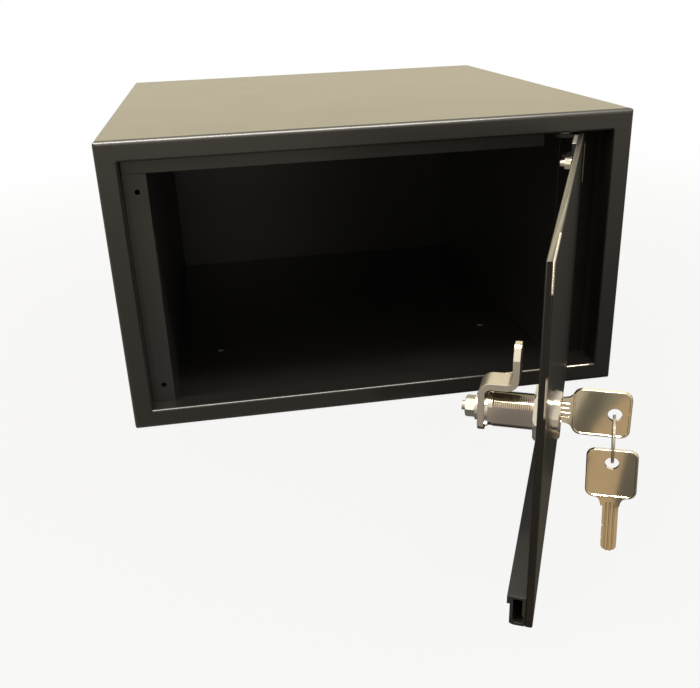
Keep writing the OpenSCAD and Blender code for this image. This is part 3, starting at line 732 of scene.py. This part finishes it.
lock_nut = hex_nut("lock_nut_chamfered", across=25.4 * MM, thickness=3.7 * MM, bore=19.1 * MM, top=-4.05 * MM)
settle(lock_nut, at_lock, zinc, "door", "zinc", "lock_nut")
cam_nut = hex_nut("cam_nut_chamfered", across=10 * MM, thickness=5.2 * MM, bore=5.1 * MM, top=-37.7 * MM,
                  turn=-5)
settle(cam_nut, at_lock, zinc, "lock_cylinder", "zinc", "cam_nut")
print("both nuts are in place")

# %% [markdown]
# ## The cam
# The cam is a strip of 3.6 mm steel, bent twice so that its tip passes behind the stop strip. It grows
# from its foot by extruding one end face after the other, is freed of the seams that this leaves, and
# gets its bends as bevels: a wide one outside and a tight one inside.
# %% Cam
CAM_END, CAM_THICK, CAM_HALF, CAM_FOOT = -36.1 * MM, 3.6 * MM, 7.5 * MM, -10.8 * MM
CAM_LEG, CAM_TIP, CAM_REACH = 13.4 * MM, -15.4 * MM, 37.6 * MM
BEND_INSIDE, BEND_OUTSIDE = 3 * MM, 3 * MM + CAM_THICK
TAPER_LENGTH, CROWN_LENGTH, TAPER_HALF, CROWN_HALF = 7 * MM, 1.5 * MM, 4.5 * MM, 2.5 * MM
FOOT_CORNER, SQUARE_HALF, CAM_EDGE = 3 * MM, 4.05 * MM, 0.25 * MM

cam = block("cam_bent", (-CAM_HALF, CAM_FOOT, CAM_END), (CAM_HALF, CAM_LEG, CAM_END + CAM_THICK))


def extrude(y=0.0, z=0.0):
    bpy.ops.mesh.extrude_region_move(TRANSFORM_OT_translate={"value": (0, y, z)})


def bend(y, z, radius):
    """Rounds the edge that runs across the strip at that place."""
    pick("EDGE", lambda edge: (runs_along(edge, X) and abs(middle(edge).y - y) < CLOSE
                               and abs(middle(edge).z - z) < CLOSE))
    bpy.ops.mesh.bevel(offset=radius, segments=10, affect="EDGES")


with editing():
    pick("FACE", lambda face: face.normal.y > 0.9 and middle(face).y > 0)
    extrude(y=CAM_THICK)
    pick("FACE", lambda face: face.normal.z > 0.9 and middle(face).y > CAM_LEG)
    extrude(z=CAM_TIP - CAM_THICK - (CAM_END + CAM_THICK))
    extrude(z=CAM_THICK)
    pick("FACE", lambda face: face.normal.y > 0.9 and middle(face).z > CAM_TIP - CAM_THICK)
    extrude(y=CAM_REACH - TAPER_LENGTH - CAM_LEG - CAM_THICK)
    for length, narrowing in ((TAPER_LENGTH - CROWN_LENGTH, TAPER_HALF / CAM_HALF),
                              (CROWN_LENGTH, CROWN_HALF / TAPER_HALF)):
        extrude(y=length)
        bpy.ops.transform.resize(value=(narrowing, 1, 1), center_override=(0, 0, 0))
    merge_flat_faces()
    bend(CAM_LEG + CAM_THICK, CAM_END, BEND_OUTSIDE)
    bend(CAM_LEG, CAM_END + CAM_THICK, BEND_INSIDE)
    bend(CAM_LEG + CAM_THICK, CAM_TIP - CAM_THICK, BEND_INSIDE)
    bend(CAM_LEG, CAM_TIP, BEND_OUTSIDE)
    pick("EDGE", lambda edge: runs_along(edge, Z) and middle(edge).y < CAM_FOOT + CLOSE)
    bpy.ops.mesh.bevel(offset=FOOT_CORNER, segments=1, affect="EDGES")
square = block("square", (-SQUARE_HALF, -SQUARE_HALF, CAM_END - 1 * MM),
               (SQUARE_HALF, SQUARE_HALF, CAM_END + CAM_THICK + 1 * MM))
combine(cam, square, "DIFFERENCE")
soften(cam, CAM_EDGE)
settle(cam, at_lock, cam_zinc, "lock_cylinder", "zinc", "cam")
print("the cam reaches", round(CAM_REACH / MM, 1), "mm from the lock's axis")

# %% [markdown]
# ## Floor
# The photograph is cut out on white. The floor is pale, lit like everything else, and keeps the
# safe's soft shadow; what the camera sees of it is lifted towards white, fully at a distance and not
# at all under the safe, where it would glow through the anchor holes.
# %% Floor
FLOOR_BELOW = 0.3 * MM
NEAR_LIFT, NEAR_FLOOR, FAR_FLOOR = 0.88, 0.35, 1.2

bpy.ops.object.select_all(action="DESELECT")
bpy.ops.mesh.primitive_plane_add(size=30, location=(0, 0, -FLOOR_BELOW))
floor = bpy.context.object
floor.name = floor.data.name = "studio_floor"
floor_look = Finish("pale studio floor", Roughness=0.9, Base_Color=colour(0.8, 0.76, 0.68))
rays = floor_look.add("ShaderNodeLightPath")
to_camera = Value(floor_look, rays.socket.node.outputs["Is Camera Ray"])
distance = floor_look.add("ShaderNodeVectorMath", {"operation": "LENGTH"}, {0: floor_look.point}, out=1)
far = distance.step(NEAR_FLOOR, FAR_FLOOR)
across, deep = floor_look.axes()[:2]
under_safe = across.rise(-198, -197) * across.rise(198, 197) * deep.rise(-211, -210) * deep.rise(211, 210)
glow = floor_look.add("ShaderNodeEmission", None, {"Color": colour(1, 1, 1), "Strength": 1.0})
lift = to_camera * (NEAR_LIFT + (1 - NEAR_LIFT) * far) * (1 - under_safe)
mixed = floor_look.add("ShaderNodeMixShader", None, {0: lift})
floor_links, mixed_inputs = floor_look.tree.links, mixed.socket.node.inputs
floor_links.new(floor_look.shader.outputs[0], mixed_inputs[1])
floor_links.new(glow.socket, mixed_inputs[2])
floor_links.new(mixed.socket, floor_look.tree.nodes["Material Output"].inputs["Surface"])
wear(floor, floor_look)
print("floor ready")

# %% [markdown]
# ## Sky
# Rays from the camera meet a white sky, rays off metal one of warm white, and the sky's diffuse light
# stays plain.
# %% Sky
SKY_DIFFUSE, SKY_SEEN = 0.5, 1.0
WARM_WHITE, WHITE = colour(1.0, 0.93, 0.81), colour(1.0, 1.0, 1.0)

sky = bpy.data.worlds.new("studio sky")
sky.use_nodes = True
bpy.context.scene.world = sky
sky_nodes, sky_links = sky.node_tree.nodes, sky.node_tree.links
sky_rays = sky_nodes.new("ShaderNodeLightPath")
seen = sky_nodes.new("ShaderNodeMath")
seen.operation = "MAXIMUM"
sky_links.new(sky_rays.outputs["Is Camera Ray"], seen.inputs[0])
sky_links.new(sky_rays.outputs["Is Glossy Ray"], seen.inputs[1])
level = sky_nodes.new("ShaderNodeMapRange")
level.inputs["To Min"].default_value = SKY_DIFFUSE
level.inputs["To Max"].default_value = SKY_SEEN
sky_links.new(seen.outputs[0], level.inputs["Value"])
sky_links.new(level.outputs[0], sky_nodes["Background"].inputs["Strength"])
warmth = sky_nodes.new("ShaderNodeMix")
warmth.data_type = "RGBA"
warmth.inputs[6].default_value = WARM_WHITE
warmth.inputs[7].default_value = WHITE
sky_links.new(sky_rays.outputs["Is Camera Ray"], warmth.inputs[0])
sky_links.new(warmth.outputs[2], sky_nodes["Background"].inputs["Color"])
print("sky ready")

# %% [markdown]
# ## Lamps
# A wide warm panel stands low behind the safe: the top is seen at a grazing angle and mirrors it,
# which gives the black lid its light tan sheen. A large soft panel at the upper left models the lock
# and the keys. A long narrow strip over the front draws the thin bright line along the folded edges;
# it only shows in the gloss and adds nothing to the diffuse light.
# %% Lamps
def panel(name, place, aim, width, height, radiance, tint):
    """A panel of that size in metres; its power follows from its size and radiance."""
    lamp = bpy.data.lights.new(name, "AREA")
    lamp.shape = "RECTANGLE"
    lamp.size = width
    lamp.size_y = height
    lamp.energy = radiance * width * height * math.pi
    lamp.color = tint
    stand = bpy.data.objects.new(name, lamp)
    bpy.context.scene.collection.objects.link(stand)
    stand.location = place
    stand.rotation_euler = (Vector(aim) - Vector(place)).to_track_quat("-Z", "Y").to_euler()
    stand.visible_camera = False
    return stand


panel("low_back_panel", place=(0.1, 2.1, 1.0), aim=(0, 0.1, 0.2), width=3.2, height=1.1,
      radiance=0.6, tint=(1.0, 0.82, 0.22))
panel("upper_left_panel", place=(-1.3, -1.2, 1.7), aim=(0, -0.3, 0.1), width=1.1, height=1.1,
      radiance=1.25, tint=(1.0, 0.93, 0.8))
strip = panel("front_strip", place=(-0.1, -0.75, 1.7), aim=(0, -0.2, 0.2), width=1.6, height=0.22,
              radiance=75.0, tint=(1.0, 0.94, 0.84))
strip.visible_diffuse = False

# %% [markdown]
# ## Cards on the table
# Polished metal looks like metal only when it has something to mirror. As at a photographer's table,
# toned cards lie on the floor, and only mirror rays see them: they cast no shadow and the camera looks
# through them. The keys, the cam and the barrel's flat all mirror the floor in front of the door, and
# the card edges there cross their reflections. The wide black card at the right keeps the door's outer
# face dark, which is seen at a very flat angle. Where cards overlap, the higher one is seen.
# %% Cards that only mirrors see
BROWN, GREY, DIM = (0.45, 0.34, 0.23), (0.5, 0.45, 0.39), (0.17, 0.145, 0.14)
SHADE, DARK, BLACK = (0.18, 0.17, 0.15), (0.075, 0.07, 0.065), (0.02, 0.02, 0.017)
OLIVE = (0.14, 0.12, 0.085)
# name, tone, height in millimetres, and four corners in metres, in order round the card
CARDS = [
    ("card_front", SHADE, 0.1, (-0.9, -0.9), (0.0, -0.9), (0.0, -0.222), (-0.9, -0.222)),
    ("card_right", BLACK, 0.2, (0.0, -0.5), (1.4, -0.5), (1.4, 0.9), (0.206, 0.9)),
    ("card_far_right", SHADE, 0.25, (0.13, -1.1), (1.4, -1.1), (1.4, -0.5), (0.13, -0.5)),
    ("card_front_right", BLACK, 0.3, (-0.02, -0.53), (0.3, -0.53), (0.3, -0.222), (0.0, -0.222)),
    ("card_for_the_cam", GREY, 0.4, (-0.21, -0.9), (-0.05, -0.9), (-0.05, -0.58), (-0.19, -0.58)),
    ("card_for_the_keys", BROWN, 0.5, (-0.06, -1.0), (0.13, -1.0), (0.13, -0.53), (-0.02, -0.53)),
    ("card_for_the_barrel", DIM, 0.6, (-0.12, -0.69), (-0.07, -0.69), (-0.06, -0.62), (-0.115, -0.62)),
    ("dark_card_left", DARK, 0.7, (-0.083, -0.79), (-0.066, -0.79), (-0.024, -0.645), (-0.043, -0.645)),
    ("dark_card_right", DARK, 0.7, (-0.002, -0.67), (0.12, -0.67), (0.12, -0.584), (0.028, -0.584)),
    ("card_at_the_door_foot", OLIVE, 0.8, (0.01, -0.53), (0.15, -0.53), (0.15, -0.36), (0.04, -0.36)),
    ("dark_card_for_the_edge", BLACK, 0.9, (-0.09, -0.63), (-0.012, -0.63), (-0.008, -0.52), (-0.05, -0.52)),
]
PLANE_ORDER = (0, 1, 3, 2)  # a new plane's corners, in the order that runs round it


def card(name, tone, height, *corners):
    piece = start(name, bpy.ops.mesh.primitive_plane_add, size=1)
    for vert, number in zip(piece.data.vertices, PLANE_ORDER):
        vert.co = (*corners[number], height * MM)
    # Each card glows with its own tone, lit by no lamp: a painted reflection for the metal to mirror.
    look = Finish(name + "_tone", Roughness=1.0, Base_Color=colour(0, 0, 0),
                  Emission_Color=colour(*tone), Emission_Strength=1.0)
    wear(piece, look)
    piece.visible_camera = piece.visible_diffuse = piece.visible_shadow = False


for row in CARDS:
    card(*row)
print("cards ready")

# %% [markdown]
# ## Finish
# Standard view transform keeps written colours as they are.
# %% View transform
bpy.context.scene.view_settings.view_transform = "Standard"
